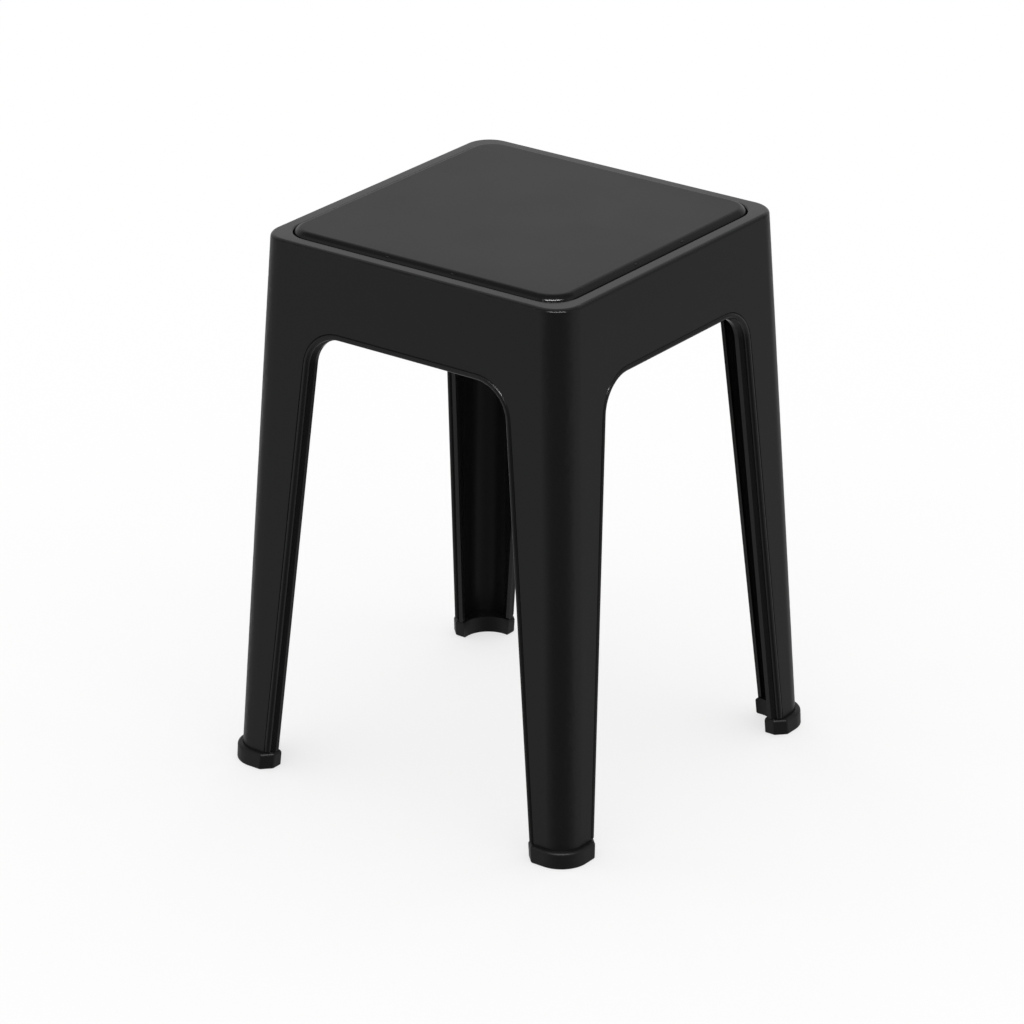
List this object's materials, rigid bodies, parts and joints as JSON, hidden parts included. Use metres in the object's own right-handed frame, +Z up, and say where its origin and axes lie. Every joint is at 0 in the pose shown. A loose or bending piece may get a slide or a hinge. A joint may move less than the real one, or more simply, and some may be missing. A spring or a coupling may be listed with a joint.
{
  "type": "stacking stool",
  "caption": "Square stool with four splayed hollow legs, an arched opening in each side, a raised seat panel set in the rim and soft feet.",
  "frame": {"origin": "on the floor, under the middle of the seat", "axes": "+Z up, +X and +Y square to the sides of the seat; -Y is the front"},
  "size_m": [0.3426, 0.3426, 0.4536],
  "materials": {
    "shell_plastic": "black moulded polypropylene, fine satin texture",
    "panel_plastic": "black moulded polypropylene, fine satin texture",
    "foot_rubber": "black soft moulded rubber, matt"
  },
  "bodies": {
    "root": {"shell": "shell_plastic", "seat_panel": "panel_plastic", "foot_front_right": "foot_rubber", "foot_front_left": "foot_rubber", "foot_rear_right": "foot_rubber", "foot_rear_left": "foot_rubber"}
  },
  "joints": []
}
